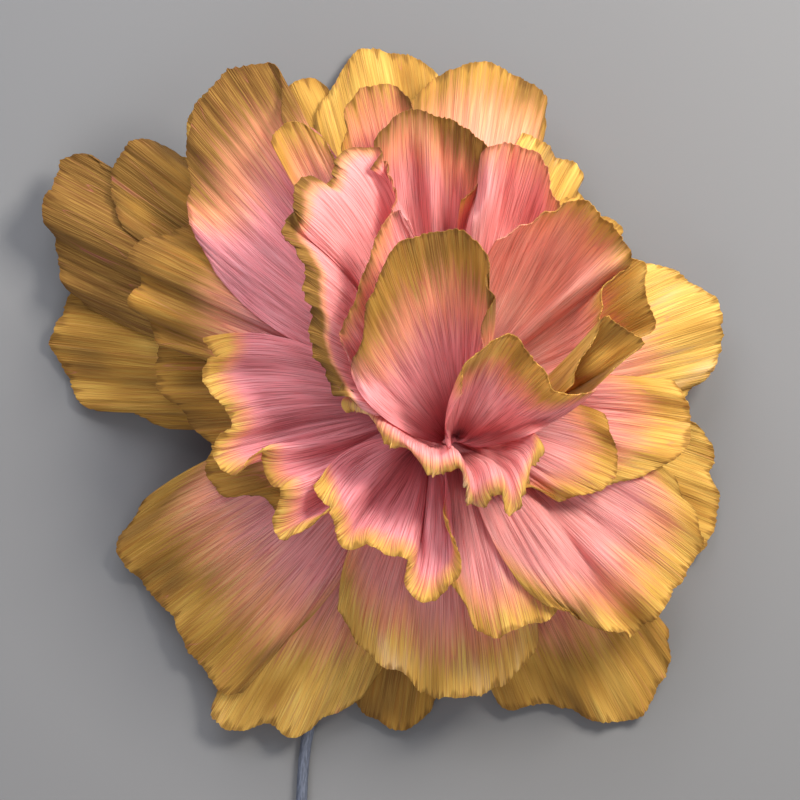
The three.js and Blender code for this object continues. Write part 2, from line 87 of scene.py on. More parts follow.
# `side` is the compass angle of the foot in degrees and `foot` its height, `rim` runs from
# one corner to the other, `belly` is how far the petal swells and `peak` where, `ruffle`,
# `waves` and `turn` shape the rim, and `roll` is how far it turns back.  `gold` is where the
# gold begins, from foot to rim, `lean` tilts it to one side, `hem` draws it down the sides,
# `crisp` sharpens it, `dull_and_shade` is how brown the gold is, partly its dye and partly
# painted shade on the petals that turn from the lamp, and `glow` is how orange the rose is,
# partly its dye and partly a painted glow of light through the paper.  Places are
# millimetres from the head's middle.
PLAIN = dict(peak=0.8, lean=0, hem=0.1, crisp=1, roll=0)
PETALS = [
    # the outermost ring droops to the table
    dict(name="outer_top_slip", side=108, foot=-16.5, belly=(0, 0, 8), ruffle=1.5, waves=2, turn=0.4,
         gold=0.5, dull_and_shade=0.5, glow=0.6,
         rim=[(-38, 166, -44), (-48, 178, -48), (-57, 180, -50), (-66, 177, -50), (-74, 162, -48)]),
    dict(name="outer_top", side=96, foot=-14.5, belly=(0, 0, 20), ruffle=2, waves=3, turn=0.4,
         gold=0.6, dull_and_shade=0.3, glow=0.7,
         rim=[(16, 166, -44), (12, 181, -48), (4, 187, -48), (-4, 192, -50), (-15, 196, -49),
              (-28, 194, -50), (-37, 187, -48), (-44, 174, -46), (-52, 156, -42)]),
    dict(name="outer_top_right", side=78, foot=-10.5, belly=(0, 0, 26), ruffle=2, waves=3, turn=0.4,
         gold=0.88, dull_and_shade=0.6, glow=1,
         rim=[(60, 130, -16), (65, 152, -18), (64, 162, -20), (64, 172, -22), (56, 178, -20),
              (49, 181, -22), (37, 186, -20), (24, 185, -22), (11, 180, -20), (1, 168, -18),
              (-4, 150, -14)]),
    dict(name="outer_right_back", side=55, foot=-16.5, belly=(0, 0, 16), ruffle=2.5, waves=3, turn=1,
         gold=0.7, dull_and_shade=0, glow=0.7,
         rim=[(94, 98, -40), (87, 118, -44), (86, 129, -42), (79, 137, -46), (68, 144, -44),
              (54, 150, -42)]),
    dict(name="outer_right_high", side=40, foot=-13, belly=(0, 0, 20), ruffle=2.5, waves=3, turn=1,
         gold=0.68, dull_and_shade=0.3, glow=0.7,
         rim=[(114, 66, -34), (108, 86, -34), (104, 98, -36), (98, 108, -32), (88, 116, -32),
              (76, 118, -28)]),
    dict(name="outer_right", side=18, foot=-9, belly=(0, 0, 26), ruffle=3.5, waves=4, turn=1,
         gold=0.7, dull_and_shade=0, glow=0.8,
         rim=[(126, 4, -26), (143, 20, -32), (150, 32, -34), (159, 44, -38), (156, 54, -32),
              (152, 66, -34), (142, 77, -30), (127, 81, -26), (112, 84, -22), (92, 80, -20)]),
    dict(name="outer_right_low", side=348, foot=-16, belly=(0, 0, 14), ruffle=2.5, waves=4, turn=0.4,
         gold=0.68, dull_and_shade=0.2, glow=0.6,
         rim=[(122, -82, -46), (140, -70, -46), (150, -58, -48), (156, -36, -50), (153, -22, -46),
              (152, -10, -46), (144, 1, -42), (130, 12, -38)]),
    dict(name="outer_bottom_right", side=303, foot=-12.5, belly=(0, 0, 20), ruffle=2.5, waves=3, turn=0.9,
         gold=0.7, dull_and_shade=0.4, glow=0.5,
         rim=[(30, -122, -46), (46, -141, -50), (66, -142, -48), (84, -147, -48), (107, -151, -51),
              (122, -139, -48), (130, -125, -44), (128, -110, -40), (116, -90, -34)]),
    dict(name="outer_bottom", side=265, foot=-16.5, belly=(0, 0, 10), ruffle=1.5, waves=2, turn=0.4,
         gold=0.5, dull_and_shade=0.7, glow=0.5,
         rim=[(-42, -122, -44), (-29, -144, -47), (-18, -151, -50), (-5, -155, -51), (5, -148, -50),
              (9, -139, -49), (18, -118, -46)]),
    dict(name="outer_bottom_left", side=243, foot=-13.5, belly=(0, 0, 16), ruffle=1.5, waves=3, turn=0.4,
         gold=0.7, dull_and_shade=0.1, glow=0.5,
         rim=[(-99, -130, -42), (-105, -147, -44), (-93, -154, -44), (-76, -153, -42), (-62, -157, -43),
              (-47, -149, -42), (-33, -141, -42), (-18, -124, -40)]),
    dict(name="outer_left_low", side=212, foot=-10, belly=(0, 0, 26), ruffle=2.5, waves=3.5, turn=0.9,
         gold=0.76, crisp=0.8, dull_and_shade=0.5, glow=0.3,
         rim=[(-138, -36, -38), (-152, -54, -46), (-146, -74, -48), (-135, -87, -46), (-124, -96, -42),
              (-114, -119, -42), (-94, -134, -38), (-74, -114, -32)]),
    dict(name="outer_left", side=166, foot=-16, belly=(0, 0, 18), ruffle=2, waves=3.5, turn=0.4,
         gold=0.62, dull_and_shade=0.5, glow=0.4,
         rim=[(-162, 86, -46), (-184, 58, -46), (-186, 42, -50), (-178, 22, -50), (-165, 12, -51),
              (-150, 8, -48), (-125, 3, -44), (-103, 1, -40)]),
    dict(name="outer_left_high", side=142, foot=-12, belly=(0, 0, 22), ruffle=3, waves=3, turn=0.4,
         gold=0.5, dull_and_shade=1.3, glow=0.4,
         rim=[(-135, 120, -26), (-152, 134, -24), (-166, 140, -32), (-182, 137, -34), (-189, 109, -30),
              (-184, 88, -38), (-172, 64, -40)]),
    dict(name="outer_left_lobe", side=131, foot=-8.5, belly=(0, 0, 22), ruffle=2.5, waves=2.5, turn=1,
         gold=0.62, dull_and_shade=0.9, glow=0.4,
         rim=[(-106, 112, -10), (-116, 137, -12), (-133, 146, -16), (-149, 143, -18), (-155, 128, -22),
              (-148, 104, -26)]),
    # the middle ring opens flat
    dict(name="middle_left", side=182, foot=-7, belly=(0, 0, 20), ruffle=3, waves=4, turn=0.9,
         gold=0.7, dull_and_shade=0.7, glow=0.4,
         rim=[(-118, 50, -18), (-133, 36, -16), (-132, 24, -20), (-124, 14, -14), (-115, 4, -20),
              (-104, -8, -14), (-106, -20, -20), (-98, -31, -18), (-86, -35, -22), (-70, -36, -18)]),
    dict(name="middle_left_high", side=153, foot=-5, belly=(0, 0, 20), ruffle=3, waves=4, turn=0.4,
         gold=0.72, dull_and_shade=0.8, glow=0.4,
         rim=[(-104, 108, 4), (-122, 100, 5), (-134, 97, 3), (-145, 84, 4), (-139, 73, 0), (-143, 64, 2),
              (-136, 52, -1), (-124, 45, 0), (-106, 34, -3)]),
    dict(name="middle_tall_lobe", side=131, foot=-4, belly=(0, 0, 10), ruffle=1.5, waves=2, turn=0.4,
         gold=0.7, dull_and_shade=0.1, glow=0.5,
         rim=[(-100, 174, 8), (-108, 168, 8), (-113, 159, 6), (-115, 147, 6), (-112, 132, 6)]),
    dict(name="middle_tall", side=126, foot=-1.5, belly=(0, 0, 12), ruffle=2, waves=3, turn=0.4,
         gold=0.83, hem=-1.2, dull_and_shade=1.7, glow=0.1,
         rim=[(-38, 128, 38), (-46, 145, 36), (-56, 152, 36), (-65, 152, 34), (-66, 166, 30),
              (-68, 178, 26), (-76, 183, 22), (-89, 182, 22), (-99, 175, 18), (-109, 163, 14),
              (-115, 148, 16), (-114, 128, 12), (-114, 110, 14), (-102, 80, 12)]),
    dict(name="middle_top", side=110, foot=1.5, belly=(0, 0, 4), ruffle=1.5, waves=2, turn=0.4,
         gold=0.9, dull_and_shade=0.4, glow=0.5,
         rim=[(-34, 124, 44), (-42, 138, 42), (-50, 148, 41), (-58, 153, 40), (-66, 154, 38),
              (-72, 142, 38)]),
    dict(name="middle_bottom", side=275, foot=-8, belly=(0, 0, 16), ruffle=3, waves=4, turn=0.4,
         gold=0.82, dull_and_shade=-0.05, glow=0.5,
         rim=[(-38, -84, -4), (-31, -106, -8), (-20, -117, -12), (-6, -124, -16), (8, -137, -20),
              (25, -134, -18), (42, -133, -20), (54, -119, -14), (62, -106, -10), (63, -86, -6)]),
    dict(name="middle_bottom_right", side=298, foot=-3, belly=(0, 0, 14), ruffle=2.5, waves=3, turn=0.4,
         gold=0.88, dull_and_shade=0.2, glow=0.3,
         rim=[(10, -64, 30), (22, -84, 26), (32, -100, 22), (42, -104, 20), (54, -98, 24), (68, -92, 22),
              (80, -80, 24)]),
    dict(name="middle_right_low", side=326, foot=-5.5, belly=(0, 0, 18), ruffle=3, waves=4, turn=0.4,
         gold=0.86, dull_and_shade=0.2, glow=0.4,
         rim=[(56, -78, 8), (82, -96, 4), (102, -101, 2), (113, -103, -4), (123, -91, 2), (131, -79, -4),
              (138, -73, 0), (144, -57, -2), (141, -42, 4), (130, -24, 8)]),
    dict(name="middle_right", side=355, foot=-2.5, belly=(0, 0, 14), ruffle=3, waves=3, turn=0.4,
         gold=0.8, dull_and_shade=0.1, glow=0.5,
         rim=[(94, -28, 16), (116, -22, 12), (130, -14, 8), (138, -4, 4), (139, 8, 6), (130, 24, 12)]),
    dict(name="middle_right_small", side=333, foot=0.5, belly=(0, 0, 8), ruffle=3, waves=3, turn=0.4,
         gold=0.84, dull_and_shade=0.2, glow=0.4,
         rim=[(44, -22, 34), (60, -32, 30), (72, -36, 24), (80, -33, 30), (91, -31, 24), (98, -24, 28),
              (101, -12, 26), (94, 8, 26)]),
    dict(name="middle_left_frill", side=188, foot=-2.5, belly=(0, 0, 2), ruffle=1.5, waves=5, turn=0.4,
         gold=0.94, crisp=2, roll=5, dull_and_shade=0.1, glow=0.1,
         rim=[(-104, 46, 36), (-99, 36, 40), (-105, 27, 36), (-97, 15, 41), (-90, 1, 38), (-102, -12, 36),
              (-89, -18, 42), (-76, -10, 46), (-73, -21, 42), (-66, -26, 46), (-69, -51, 38),
              (-57, -46, 44), (-42, -38, 48)]),
    dict(name="middle_front_frill", side=250, foot=-4, belly=(0, 0, 0), ruffle=1.5, waves=5, turn=0.4,
         gold=0.94, crisp=2, roll=5, dull_and_shade=0.1, glow=0.1,
         rim=[(-48, -26, 47), (-38, -46, 49), (-35, -57, 47), (-26, -54, 50), (-18, -56, 48),
              (-9, -60, 50), (-3, -64, 48), (-2, -75, 45), (7, -82, 44), (15, -77, 46), (18, -64, 48),
              (12, -44, 52)]),
    dict(name="front_lip", side=272, foot=-1, belly=(0, 7, 14), peak=2.2, ruffle=1.5, waves=6, turn=0.4,
         gold=0.93, crisp=2, roll=4, dull_and_shade=-0.2, glow=0.3,
         rim=[(-37, 8, 60), (-32, 9, 66), (-25, 6, 66), (-18, -2, 69), (-9, -9, 68), (3, -19, 72),
              (11, -22, 70), (21, -20, 72), (29, -38, 64), (37, -33, 70), (43, -32, 72), (49, -40, 66),
              (55, -27, 66), (62, -12, 62)]),
    # the cup stands up and leans to the top
    dict(name="cup_top_back", side=98, foot=3.5, belly=(0, 0, -2), ruffle=2, waves=3, turn=0.4,
         gold=0.94, dull_and_shade=0.6, glow=0.3,
         rim=[(4, 142, 48), (0, 161, 44), (-8, 168, 42), (-18, 172, 40), (-28, 169, 40), (-34, 159, 42),
              (-38, 140, 46)]),
    dict(name="cup_top", side=85, foot=5.5, belly=(0, 4, -8), ruffle=2, waves=3, turn=0.4,
         gold=0.86, lean=-0.14, dull_and_shade=0.9, glow=0.3,
         rim=[(27, 102, 60), (37, 118, 62), (38, 132, 60), (33, 141, 57), (23, 150, 56), (13, 155, 54),
              (0, 158, 54), (-10, 156, 56), (-20, 142, 60)]),
    dict(name="cup_right_back", side=60, foot=4, belly=(4, 4, -12), ruffle=2, waves=3, turn=0.4,
         gold=1.03, dull_and_shade=0.3, glow=0.35,
         rim=[(73, 103, 50), (68, 119, 47), (64, 131, 45), (56, 139, 43), (47, 143, 43), (38, 139, 45),
              (32, 131, 46), (23, 113, 50)]),
    dict(name="cup_right_flap", side=12, foot=6, belly=(4, 0, -4), ruffle=2.5, waves=2, turn=0.4,
         gold=0.78, dull_and_shade=0.2, glow=0.9,
         rim=[(90, 39, 66), (108, 46, 66), (115, 52, 66), (114, 65, 64), (112, 79, 66), (103, 84, 66),
              (92, 82, 68)]),
    dict(name="cup_right", side=32, foot=7, belly=(8, 6, -10), ruffle=2.5, waves=3, turn=0.4,
         gold=0.9, lean=-0.04, hem=-0.5, dull_and_shade=0.4, glow=0.9,
         rim=[(82, 28, 68), (88, 43, 70), (92, 57, 72), (93, 69, 72), (98, 78, 70), (104, 83, 68),
              (103, 92, 66), (95, 104, 64), (83, 113, 64), (71, 107, 66), (61, 108, 66), (49, 101, 68),
              (39, 92, 70)]),
    dict(name="cup_left", side=135, foot=7, belly=(6, 0, 4), peak=2, ruffle=1.5, waves=3, turn=0.4,
         gold=0.95, lean=0.06, hem=0, crisp=5, roll=7, dull_and_shade=1.2, glow=0.3,
         rim=[(-14, 102, 66), (-16, 120, 64), (-20, 134, 64), (-29, 138, 64), (-37, 132, 68),
              (-42, 123, 74), (-50, 123, 82), (-56, 111, 88), (-64, 101, 84), (-56, 90, 90),
              (-52, 78, 92), (-51, 61, 88), (-49, 41, 80), (-41, 24, 70), (-34, 14, 62)]),
    dict(name="cup_front_left", side=212, foot=9, belly=(3, -2, 12), peak=0.5, ruffle=2, waves=2, turn=0.4,
         gold=0.96, hem=-0.5, crisp=1.5, dull_and_shade=0.6, glow=0.3,
         rim=[(-3, 104, 90), (-8, 109, 92), (-12, 106, 92), (-16, 99, 94), (-22, 85, 94), (-31, 65, 94),
              (-35, 54, 90), (-35, 43, 86), (-32, 32, 78)]),
    dict(name="cup_front", side=262, foot=8, belly=(9, -8, 12), peak=0.35, ruffle=2, waves=3, turn=0.4,
         gold=0.76, hem=-0.4, crisp=0.7, dull_and_shade=0.65, glow=0.2,
         rim=[(31, 43, 92), (32, 55, 102), (37, 64, 104), (35, 71, 108), (38, 77, 106), (33, 86, 108),
              (25, 93, 108), (10, 97, 110), (0, 94, 112), (-12, 89, 112), (-18, 74, 108), (-24, 56, 100),
              (-30, 39, 88), (-32, 29, 78)]),
    dict(name="cup_front_back_right", side=345, foot=6.5, belly=(6, -8, 4), ruffle=2, waves=2, turn=0.4,
         gold=0.5, dull_and_shade=0.3, glow=0.4,
         rim=[(95, 28, 82), (103, 34, 84), (110, 42, 82), (100, 50, 88), (90, 56, 90), (85, 44, 88),
              (79, 32, 86), (75, 23, 84)]),
    dict(name="cup_front_right", side=290, foot=5, belly=(3, -10, 8), peak=0.35, ruffle=2, waves=2, turn=0.4,
         gold=0.78, hem=-0.3, dull_and_shade=0.2, glow=0.3,
         rim=[(88, 22, 80), (77, 20, 82), (68, 20, 84), (64, 24, 88), (60, 30, 92), (53, 39, 96),
              (47, 47, 100), (38, 48, 102), (31, 41, 102), (26, 31, 98), (21, 18, 92)]),
]


def eased(low, high, value):
    """Rises smoothly from 0 at `low` to 1 at `high`."""
    share = np.clip((value - low) / (high - low), 0, 1)
    return share * share * (3 - 2 * share)


def rim_points(rim, count):
    """Points at equal steps along a smooth curve through the points of a rim."""
    points = np.array(rim, float)
    along = np.concatenate([[0], np.cumsum(np.linalg.norm(np.diff(points, axis=0), axis=1))])
    slopes = np.gradient(points, axis=0) / np.gradient(along)[:, None]
    place = np.linspace(0, along[-1], count + 1)
    start = np.clip(np.searchsorted(along, place, side="right") - 1, 0, len(points) - 2)
    span = along[start + 1] - along[start]
    q = ((place - along[start]) / span)[:, None]
    span = span[:, None]
    return ((2 * q**3 - 3 * q**2 + 1) * points[start] + (q**3 - 2 * q**2 + q) * span * slopes[start]
            + (3 * q**2 - 2 * q**3) * points[start + 1] + (q**3 - q**2) * span * slopes[start + 1])


def foot_point(side, foot):
    """Where the foot of a petal meets the glue on the block's sloping face."""
    radius = BLOCK_TOP_RADIUS + BLOCK_SLOPE * (BLOCK_TOP - foot) + FOOT_GAP
    angle = math.radians(side)
    return BLOCK_PLACE + np.array([radius * math.cos(angle), radius * math.sin(angle), foot])


def normals(sheet):
    """Unit normals of a sheet given as rows and columns of points."""
    found = np.cross(np.gradient(sheet, axis=0), np.gradient(sheet, axis=1))
    return found / (np.linalg.norm(found, axis=2, keepdims=True) + 1e-9)


def petal_sheet(side, foot, rim, belly, peak, reach):
    """The smooth middle surface of a petal; `reach` is each point's share of the way to the rim."""
    base = foot_point(side, foot)
    arms = rim_points(rim, reach.shape[1] - 1) - base
    u = np.linspace(-1, 1, reach.shape[1])[:, None]
    # An even curve between the rim's two ends, which reaches as far as the rim on average.
    ends = (arms[0] + arms[-1]) / 2
    even = ends + (arms[-1] - arms[0]) / 2 * u + (arms.mean(axis=0) - ends) * 1.5 * (1 - u**2)
    t = reach[..., None]
    arms = even + (arms - even) * t**CALM
    axis = arms[-1].mean(axis=0)
    axis /= np.linalg.norm(axis)
    ahead = (arms @ axis)[..., None]
    sideways = arms - ahead * axis
    spread = GATHER + (1 - GATHER) * (1 - (1 - np.minimum(t, 1)) ** FLARE)
    swell = np.array(belly) * np.sin(np.pi * np.minimum(t, 1) ** peak)
    return base + axis * ahead * t + sideways * spread + swell


def wander(dice, place, pitch):
    """A smooth uneven wave of about the given pitch and a height near 1."""
    waves = [np.sin(2 * math.pi * place / (pitch * dice.uniform(0.7, 1.5)) + dice.uniform(0, 2 * math.pi))
             for _ in range(4)]
    return sum(waves) / 2


FOLD_DRIFT = 6
FOLD_HEIGHT = 1.1
FOLD_PITCH = 34
TUCK_HEIGHT = 0.6
TUCK_PITCH = 15
PLEAT_HEIGHT = 0.35
PLEAT_PITCH = 6
CRIMP_HEIGHT = 0.2
CRIMP_PITCH = 18
CRIMP_DRIFT = 3


def crinkled(sheet, across, t, dice, ruffle, waves, turn):
    """Adds the folds, tucks and pleats that the gathered foot sends up a petal, and its ruffled rim."""
    u = np.linspace(-1, 1, sheet.shape[1])[None, :]
    drift = across + FOLD_DRIFT * t * dice.uniform(-1, 1)
    folds = FOLD_HEIGHT * wander(dice, drift, FOLD_PITCH) * eased(0.1, 0.6, t)
    tucks = TUCK_HEIGHT * np.abs(wander(dice, drift, TUCK_PITCH)) * eased(0.1, 0.5, t)
    pleats = PLEAT_HEIGHT * np.abs(wander(dice, drift, PLEAT_PITCH)) * eased(0.1, 0.5, t)
    frill = ruffle * t**3 * np.sin(math.pi * waves * u + turn)
    crimp = CRIMP_HEIGHT * (1 + ruffle) * t**6 * wander(dice, across + CRIMP_DRIFT * t, CRIMP_PITCH)
    return sheet + normals(sheet) * (folds + tucks + pleats + frill + crimp)[..., None]


# The heights of the paper already laid, on a map of square cells round the head's middle.
LAYER_GAP = 1.3
CELL = 1.0
MAP_REACH = 260
BARE = -1000.0
LAY_PASSES = 3
SPREAD_STEPS = 3
SMOOTH_STEPS = 6
laid_heights = np.full((2 * MAP_REACH, 2 * MAP_REACH), BARE)


def map_cells(sheet):
    """The cells of the height map under the points of a sheet."""
    return tuple((sheet[..., k] / CELL).round().astype(int) + MAP_REACH for k in (0, 1))


def with_neighbours(grid, merge):
    """Merges each value of a grid with the eight values round it."""
    padded = np.pad(grid, 1, mode="edge")
    wide = merge(merge(padded[:, :-2], padded[:, 2:]), padded[:, 1:-1])
    return merge(merge(wide[:-2], wide[2:]), wide[1:-1])


def laid(sheet):
    """Lifts a sheet off the petals already laid, then adds it to them."""
    for _ in range(LAY_PASSES):
        lift = np.maximum(laid_heights[map_cells(sheet)] + LAYER_GAP - sheet[..., 2], 0)
        for _ in range(SPREAD_STEPS):
            lift = with_neighbours(lift, np.maximum)
        for _ in range(SMOOTH_STEPS):
            lift = with_neighbours(lift, np.add) / 9
        sheet[..., 2] += lift
    between = np.concatenate([sheet[:-1], (sheet[:-1] + sheet[1:]) / 2])
    between = np.concatenate([between[:, :-1], (between[:, :-1] + between[:, 1:]) / 2], axis=1)
    np.maximum.at(laid_heights, map_cells(between), between[..., 2])
    return sheet


def keep_active(piece):
    """Makes a piece the only one that operators act on."""
    bpy.ops.object.select_all(action="DESELECT")
    piece.select_set(True)
    bpy.context.view_layer.objects.active = piece


def sheet_piece(name, sheet, across, along):
    """A grid moved onto a sheet, with UV in millimetres across and along it."""
    bpy.ops.object.select_all(action="DESELECT")
    rows, columns = sheet.shape[0] - 1, sheet.shape[1] - 1
    bpy.ops.mesh.primitive_grid_add(x_subdivisions=columns, y_subdivisions=rows, size=1)
    piece = bpy.context.object
    piece.name = name
    mesh = piece.data
    mesh.name = name
    mesh.vertices.foreach_set("co", (sheet * MM + head).astype(np.float32).ravel())
    corners = np.zeros(len(mesh.loops), dtype=np.int32)
    mesh.loops.foreach_get("vertex_index", corners)
    layout = np.stack([across, along], axis=-1).reshape(-1, 2)
    mesh.uv_layers.active.data.foreach_set("uv", layout[corners].astype(np.float32).ravel())
    mesh.update()
    return piece


def finish_sheet(piece, thickness):
    """Gives a sheet its thickness and smooth faces with crisp edges."""
    keep_active(piece)
    wall = piece.modifiers.new("thickness", "SOLIDIFY")
    wall.thickness = thickness
    wall.offset = 0
    bpy.ops.object.modifier_apply(modifier=wall.name)
    bpy.ops.object.shade_smooth_by_angle(angle=math.radians(70))


COLUMN_PITCH = 1.0
ROW_PITCH = 2.4
COLUMN_LIMITS = (50, 150)
ROW_LIMITS = (30, 84)
PETAL_SEED = 11
RIM_NIBBLES = [(0.3, 3), (0.35, 12), (0.9, 30)]
ROLL_START = 0.86
ROLL_END = 1.04

petal_pieces = []
for number, petal in enumerate(PETALS):
    petal = PLAIN | petal
    dice = np.random.default_rng(number + PETAL_SEED)
    rim = np.array(petal["rim"], float)
    rim_length = np.linalg.norm(np.diff(rim, axis=0), axis=1).sum()
    length = np.linalg.norm(rim.mean(axis=0) - foot_point(petal["side"], petal["foot"]))
    columns = int(np.clip(rim_length / COLUMN_PITCH, *COLUMN_LIMITS))
    rows = int(np.clip(length / ROW_PITCH, *ROW_LIMITS))
    across = np.linspace(-0.5, 0.5, columns + 1)[None, :] * rim_length
    t = np.linspace(0, 1, rows + 1)[:, None] * np.ones_like(across)
    nibbles = sum(height * wander(dice, across, pitch) for height, pitch in RIM_NIBBLES)
    reach = t * (1 + t**6 * nibbles / length)
    sheet = petal_sheet(petal["side"], petal["foot"], petal["rim"], petal["belly"], petal["peak"], reach)
    sheet = crinkled(sheet, across, t, dice, petal["ruffle"], petal["waves"], petal["turn"])
    sheet = laid(sheet)
    sheet -= normals(sheet) * (petal["roll"] * eased(ROLL_START, ROLL_END, t) ** 2)[..., None]
    piece = sheet_piece("petal_" + petal["name"] + "_paper", sheet, across + 0 * t, t * length)
    side_share = across / rim_length * 2
    hem = petal["hem"] * np.abs(side_share)**5 * eased(0.15, 0.5, t)
    dyed = (t + hem + petal["lean"] * side_share - petal["gold"]) * petal["crisp"]
    # Besides where the gold begins, the dye attribute holds how brown the gold is, partly painted shade, how
    # orange the rose is, partly a painted glow, and the share of the way to the rim.
    dye = piece.data.attributes.new("dye", "FLOAT_COLOR", "POINT")
    tint = np.stack([0.5 + dyed / 2, petal["dull_and_shade"] + 0 * t, petal["glow"] + 0 * t, t], axis=-1)
    dye.data.foreach_set("color", tint.astype(np.float32).ravel())
    finish_sheet(piece, PAPER)
    petal_pieces.append(piece)
    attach(piece, "root")
    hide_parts("petal_" + petal["name"])


class Value:
    """A number inside a material, so that Python maths on it adds Math nodes."""

    def __init__(self, tree, socket):
        self.tree = tree
        self.socket = socket

    def work(self, operation, first, second):
        """Adds one Math node on two terms, each a Value or a plain number."""
        node = self.tree.nodes.new("ShaderNodeMath")
        node.operation = operation
        for slot, term in zip(node.inputs, (first, second)):
            if isinstance(term, Value):
                self.tree.links.new(term.socket, slot)
            else:
                slot.default_value = term
        return Value(self.tree, node.outputs[0])

    def __add__(self, other):
        return self.work("ADD", self, other)

    def __radd__(self, other):
        return self.work("ADD", other, self)

    def __sub__(self, other):
        return self.work("SUBTRACT", self, other)

    def __rsub__(self, other):
        return self.work("SUBTRACT", other, self)

    def __mul__(self, other):
        return self.work("MULTIPLY", self, other)

    def __rmul__(self, other):
        return self.work("MULTIPLY", other, self)

    def __abs__(self):
        return self.work("ABSOLUTE", self, 0.0)

    def rise(self, low, high):
        """0 at `low`, 1 at `high`, smooth between them and level beyond."""
        node = self.tree.nodes.new("ShaderNodeMapRange")
        node.interpolation_type = "SMOOTHSTEP"
        self.tree.links.new(self.socket, node.inputs["Value"])
        node.inputs["From Min"].default_value = low
        node.inputs["From Max"].default_value = high
        return Value(self.tree, node.outputs[0])


class Finish:
    """One material, and the one way that nodes are added to it."""

    def __init__(self, name):
        self.material = bpy.data.materials.new(name)
        self.material.use_nodes = True
        self.tree = self.material.node_tree
        self.tree.nodes.clear()

    def node(self, kind, settings, inputs, output=0):
        """Adds a node with its settings and inputs, and returns one of its outputs."""
        made = self.tree.nodes.new(kind)
        for setting, choice in settings.items():
            setattr(made, setting, choice)
        for slot, term in inputs.items():
            if isinstance(term, Value):
                self.tree.links.new(term.socket, made.inputs[slot])
            else:
                made.inputs[slot].default_value = term
        return Value(self.tree, made.outputs[output])

    def mix(self, share, first, second, blend="MIX"):
        """Mixes two colours; the colour sockets of the Mix node are its seventh and eighth."""
        return self.node("ShaderNodeMix", {"data_type": "RGBA", "blend_type": blend},
                         {0: share, 6: first, 7: second}, 2)

    def mix_shaders(self, share, first, second):
        """Mixes two shaders; a share of 0 is all the first, and 1 all the second."""
        return self.node("ShaderNodeMixShader", {}, {0: share, 1: first, 2: second})

    def surface(self, shader):
        """Sends a shader to the material's output."""
        out = self.tree.nodes.new("ShaderNodeOutputMaterial")
        self.tree.links.new(shader.socket, out.inputs["Surface"])


def dye_colour(red, green, blue):
    """A colour as the eye reads it, from 0 to 255, turned into light."""
    shares = [part / 255 for part in (red, green, blue)]
    return tuple(s / 12.92 if s <= 0.04045 else ((s + 0.055) / 1.055) ** 2.4 for s in shares) + (1.0,)


DEEP_ROSE = dye_colour(228, 114, 128)
ROSE = dye_colour(252, 168, 180)
SALMON = dye_colour(255, 188, 164)
PEACH = dye_colour(246, 174, 130)
YELLOW = dye_colour(240, 196, 98)
GOLD = dye_colour(206, 154, 66)
CREAM = dye_colour(255, 232, 190)
OLD_GOLD = dye_colour(156, 114, 52)
RIM_BROWN = dye_colour(122, 86, 34)
# The last colour darkens the grooves between the ribs as painted shade.
GROOVE_SHADE = dye_colour(214, 186, 184)

RIB_PITCH = 0.62
RIB_LENGTH = 26
STREAK_PITCH = 3.2
STREAK_LENGTH = 60
BLOTCH_PITCH = 22
BLOTCH_LENGTH = 40
CREASE_PITCH = 14
CREASE_LENGTH = 160
SHARE_THROUGH = 0.45

crepe = Finish("petal_crepe")
layout = crepe.node("ShaderNodeUVMap", {"uv_map": "UVMap"}, {})
dye = crepe.node("ShaderNodeAttribute", {"attribute_name": "dye"}, {}, "Color")
from_foot = crepe.node("ShaderNodeAttribute", {"attribute_name": "dye"}, {}, "Alpha")
gold_place, dull_and_shade, glow = (crepe.node("ShaderNodeSeparateColor", {}, {"Color": dye}, part)
                          for part in ("Red", "Green", "Blue"))


def streaks(finish, layout, pitch, length, detail):
    """Uneven streaks that run along the paper's ribs."""
    stretched = finish.node("ShaderNodeVectorMath", {"operation": "MULTIPLY"},
                            {0: layout, 1: (1 / pitch, 1 / length, 1)})
    return finish.node("ShaderNodeTexNoise", {"noise_dimensions": "2D"},
                       {"Vector": stretched, "Scale": 1.0, "Detail": detail, "Roughness": 0.6}, "Fac")


ribs = streaks(crepe, layout, RIB_PITCH, RIB_LENGTH, detail=1.0)
broad = streaks(crepe, layout, STREAK_PITCH, STREAK_LENGTH, detail=2.0)
blotch = streaks(crepe, layout, BLOTCH_PITCH, BLOTCH_LENGTH, detail=1.0)

# How far past the ragged edge of the gold each point lies; the dye attribute holds it halved.
ragged = (gold_place - 0.5) * 2 + (broad - 0.5) * 0.12 + (ribs - 0.5) * 0.16
# Rose turns salmon with `glow`, partly the dye and partly a painted glow of light through the paper; petals
# that glow also get less painted shade in their grooves.
rose = crepe.mix(glow, ROSE, SALMON)
rose = crepe.mix(from_foot.rise(0.40, 0.0), rose, DEEP_ROSE)
warm = crepe.mix(ragged.rise(-0.20, -0.02), rose, PEACH)
# How brown the gold is, blotch by blotch and rib by rib; on the petals that turn from the lamp it is partly
# painted shade.
tone = dull_and_shade + (blotch - 0.5) * 1.2 + (broad - 0.5) * 0.35 + (ribs - 0.5) * 0.7
gold = crepe.mix(tone.rise(-0.8, -0.1), CREAM, YELLOW)
gold = crepe.mix(tone.rise(0.0, 0.5), gold, GOLD)
gold = crepe.mix(tone.rise(0.4, 1.0), gold, OLD_GOLD)
painted = crepe.mix(ragged.rise(-0.06, 0.10), warm, gold)
painted = crepe.mix((from_foot + (broad - 0.5) * 0.1).rise(0.975, 1.0) * 0.65, painted, RIM_BROWN)
